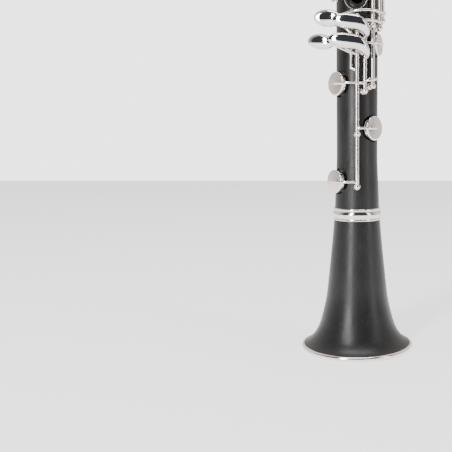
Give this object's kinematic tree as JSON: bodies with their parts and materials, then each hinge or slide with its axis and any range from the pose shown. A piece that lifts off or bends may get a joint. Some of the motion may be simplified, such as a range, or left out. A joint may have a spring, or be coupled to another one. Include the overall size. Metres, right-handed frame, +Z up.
{
  "type": "clarinet",
  "caption": "Upright woodwind with flared bell, jointed cylindrical body, sprung padded keys on rods, finger rings, barrel and beaked mouthpiece with reed.",
  "frame": {"origin": "centre of the bell's rim face, the plane it stands on", "axes": "+Z up the bore from the bell to the mouthpiece; -Y is the side with the finger holes; the reed and thumb side is +Y; the side keys are at -X"},
  "size_m": [0.08, 0.08, 0.6611],
  "materials": {
    "black_wood": "satin black hardwood with a fine grain",
    "hard_rubber": "polished black hard rubber",
    "cane": "bare straw-coloured cane",
    "cork": "greased natural cork",
    "liner": "black liner",
    "nickel_plate": "polished nickel plate",
    "key_plate": "polished nickel plate",
    "steel": "drawn steel",
    "blued_steel": "blued needle spring",
    "pad_skin": "pale skin over felt"
  },
  "bodies": {
    "lower_body": {"lower_joint": "black_wood", "lower_joint_cork": "cork", "lower_joint_ring": "nickel_plate", "thumb_rest": "nickel_plate", "lower_rods_and_screws": "steel", "lower_posts": "nickel_plate", "lower_springs": "blued_steel"},
    "bell_body": {"bell": "black_wood", "bell_rim_ring": "nickel_plate", "bell_socket_ring": "nickel_plate"},
    "upper_body": {"upper_joint": "black_wood", "upper_joint_corks": "cork", "tone_hole_liners": "liner", "upper_posts": "nickel_plate", "upper_rods": "steel", "upper_springs": "blued_steel"},
    "barrel_body": {"barrel": "black_wood", "barrel_rings": "nickel_plate"},
    "mouthpiece_body": {"mouthpiece": "hard_rubber", "mouthpiece_cork": "cork", "reed": "cane", "ligature_band": "nickel_plate", "ligature_screws": "steel"},
    "e_b_body": {"e_b_key": "key_plate", "e_b_pad": "pad_skin"},
    "f_sharp_body": {"f_sharp_key": "key_plate", "f_sharp_pad": "pad_skin"},
    "f_c_body": {"f_c_key": "key_plate", "f_c_pad": "pad_skin"},
    "a_flat_body": {"a_flat_key": "key_plate", "a_flat_pad": "pad_skin"},
    "lower_sliver_body": {"lower_sliver_key": "key_plate", "lower_sliver_pad": "pad_skin"},
    "right_ring_body": {"right_ring_key": "key_plate", "right_ring_pad": "pad_skin"},
    "c_sharp_body": {"c_sharp_key": "key_plate", "c_sharp_pad": "pad_skin"},
    "upper_sliver_body": {"upper_sliver_key": "key_plate", "upper_sliver_pad": "pad_skin"},
    "left_ring_body": {"left_ring_key": "key_plate", "left_ring_pad": "pad_skin"},
    "thumb_ring_body": {"thumb_ring_key": "key_plate", "thumb_ring_pad": "pad_skin"},
    "side_1_body": {"side_1_key": "key_plate", "side_1_pad": "pad_skin"},
    "side_2_body": {"side_2_key": "key_plate", "side_2_pad": "pad_skin"},
    "side_3_body": {"side_3_key": "key_plate", "side_3_pad": "pad_skin"},
    "side_4_body": {"side_4_key": "key_plate", "side_4_pad": "pad_skin"},
    "throat_g_sharp_body": {"throat_g_sharp_key": "key_plate", "throat_g_sharp_pad": "pad_skin"},
    "throat_a_body": {"throat_a_key": "key_plate", "throat_a_pad": "pad_skin"},
    "register_body": {"register_key": "key_plate", "register_pad": "pad_skin"},
    "left_e_b_body": {"left_e_b_lever": "key_plate"},
    "left_f_sharp_body": {"left_f_sharp_lever": "key_plate"},
    "left_f_c_body": {"left_f_c_lever": "key_plate"}
  },
  "joints": [
    {"name": "bell_slide", "type": "slide", "parent": "lower_body", "child": "bell_body", "axis": [0, 0, -1], "range_m": [0, 0.02]},
    {"name": "upper_joint_slide", "type": "slide", "parent": "lower_body", "child": "upper_body", "axis": [0, 0, 1], "range_m": [0, 0.017]},
    {"name": "barrel_slide", "type": "slide", "parent": "upper_body", "child": "barrel_body", "axis": [0, 0, 1], "range_m": [0, 0.0165]},
    {"name": "mouthpiece_slide", "type": "slide", "parent": "barrel_body", "child": "mouthpiece_body", "axis": [0, 0, 1], "range_m": [0, 0.0165]},
    {"name": "e_b_hinge", "type": "hinge", "parent": "lower_body", "child": "e_b_body", "pos_m": [0, -0.0174, 0.1346], "axis": [0, 0, -1], "range_deg": [0, 10.5], "stiffness_Nm_per_rad": 0.006, "springref_deg": -57.3},
    {"name": "f_sharp_hinge", "type": "hinge", "parent": "lower_body", "child": "f_sharp_body", "pos_m": [0, -0.0174, 0.1776], "axis": [0, 0, -1], "range_deg": [0, 11], "stiffness_Nm_per_rad": 0.006, "springref_deg": -57.3},
    {"name": "f_c_hinge", "type": "hinge", "parent": "lower_body", "child": "f_c_body", "pos_m": [0.00523, -0.01659, 0.1946], "axis": [0, 0, -1], "range_deg": [0, 10], "stiffness_Nm_per_rad": 0.006, "springref_deg": -57.3},
    {"name": "a_flat_hinge", "type": "hinge", "parent": "lower_body", "child": "a_flat_body", "pos_m": [0.00523, -0.01659, 0.2151], "axis": [0, 0, -1], "range_deg": [0, 11], "stiffness_Nm_per_rad": 0.006, "springref_deg": -57.3},
    {"name": "lower_sliver_hinge", "type": "hinge", "parent": "lower_body", "child": "lower_sliver_body", "pos_m": [0.00973, -0.01443, 0.2766], "axis": [0, 0, -1], "range_deg": [0, 6], "stiffness_Nm_per_rad": 0.002, "springref_deg": -57.3},
    {"name": "right_ring_hinge", "type": "hinge", "parent": "lower_body", "child": "right_ring_body", "pos_m": [-0.01635, -0.00595, 0.2806], "axis": [0, 0, 1], "range_deg": [0, 5], "stiffness_Nm_per_rad": 0.005, "springref_deg": -57.3},
    {"name": "c_sharp_hinge", "type": "hinge", "parent": "upper_body", "child": "c_sharp_body", "pos_m": [0.01564, -0.00763, 0.3441], "axis": [0, 0, 1], "range_deg": [0, 9], "stiffness_Nm_per_rad": 0.003, "springref_deg": -57.3},
    {"name": "upper_sliver_hinge", "type": "hinge", "parent": "upper_body", "child": "upper_sliver_body", "pos_m": [0.00973, -0.01443, 0.3636], "axis": [0, 0, -1], "range_deg": [0, 6], "stiffness_Nm_per_rad": 0.002, "springref_deg": -57.3},
    {"name": "left_ring_hinge", "type": "hinge", "parent": "upper_body", "child": "left_ring_body", "pos_m": [-0.01252, -0.01209, 0.3676], "axis": [0, 0, 1], "range_deg": [0, 5], "stiffness_Nm_per_rad": 0.004, "springref_deg": -57.3},
    {"name": "thumb_ring_hinge", "type": "hinge", "parent": "upper_body", "child": "thumb_ring_body", "pos_m": [0.01333, 0.01119, 0.4146], "axis": [0, 0, 1], "range_deg": [0, 5], "stiffness_Nm_per_rad": 0.003, "springref_deg": -57.3},
    {"name": "side_1_hinge", "type": "hinge", "parent": "upper_body", "child": "side_1_body", "pos_m": [-0.01727, 0.00212, 0.3676], "axis": [0, 0, -1], "range_deg": [0, 7], "stiffness_Nm_per_rad": 0.003, "springref_deg": -57.3},
    {"name": "side_2_hinge", "type": "hinge", "parent": "upper_body", "child": "side_2_body", "pos_m": [-0.01727, 0.00212, 0.4136], "axis": [0, 0, -1], "range_deg": [0, 7], "stiffness_Nm_per_rad": 0.003, "springref_deg": -57.3},
    {"name": "side_3_hinge", "type": "hinge", "parent": "upper_body", "child": "side_3_body", "pos_m": [-0.01727, 0.00212, 0.4476], "axis": [0, 0, -1], "range_deg": [0, 7], "stiffness_Nm_per_rad": 0.003, "springref_deg": -57.3},
    {"name": "side_4_hinge", "type": "hinge", "parent": "upper_body", "child": "side_4_body", "pos_m": [-0.01727, 0.00212, 0.4674], "axis": [0, 0, -1], "range_deg": [0, 7], "stiffness_Nm_per_rad": 0.003, "springref_deg": -57.3},
    {"name": "throat_g_sharp_hinge", "type": "hinge", "parent": "upper_body", "child": "throat_g_sharp_body", "pos_m": [-0.00735, -0.01577, 0.4231], "axis": [0.9063, -0.4226, 0], "range_deg": [0, 7], "stiffness_Nm_per_rad": 0.002, "springref_deg": -57.3},
    {"name": "throat_a_hinge", "type": "hinge", "parent": "upper_body", "child": "throat_a_body", "pos_m": [0.00708, -0.0159, 0.4356], "axis": [0.9135, 0.4067, 0], "range_deg": [0, 7], "stiffness_Nm_per_rad": 0.002, "springref_deg": -57.3},
    {"name": "register_hinge", "type": "hinge", "parent": "upper_body", "child": "register_body", "pos_m": [0, 0.0174, 0.4596], "axis": [-1, 0, 0], "range_deg": [0, 6], "stiffness_Nm_per_rad": 0.003, "springref_deg": -57.3},
    {"name": "left_e_b_hinge", "type": "hinge", "parent": "lower_body", "child": "left_e_b_body", "pos_m": [0.01536, -0.00817, 0.2386], "axis": [0, 0, 1], "range_deg": [0, 10.5]},
    {"name": "left_f_sharp_hinge", "type": "hinge", "parent": "lower_body", "child": "left_f_sharp_body", "pos_m": [0.01731, -0.00182, 0.2416], "axis": [0, 0, 1], "range_deg": [0, 11]},
    {"name": "left_f_c_hinge", "type": "hinge", "parent": "lower_body", "child": "left_f_c_body", "pos_m": [0.01047, -0.0139, 0.2046], "axis": [0, 0, 1], "range_deg": [0, 10]}
  ],
  "couplings": [
    {"joint": "left_e_b_hinge", "follows": "e_b_hinge", "ratio": 1},
    {"joint": "left_f_sharp_hinge", "follows": "f_sharp_hinge", "ratio": 1},
    {"joint": "left_f_c_hinge", "follows": "f_c_hinge", "ratio": 1}
  ]
}
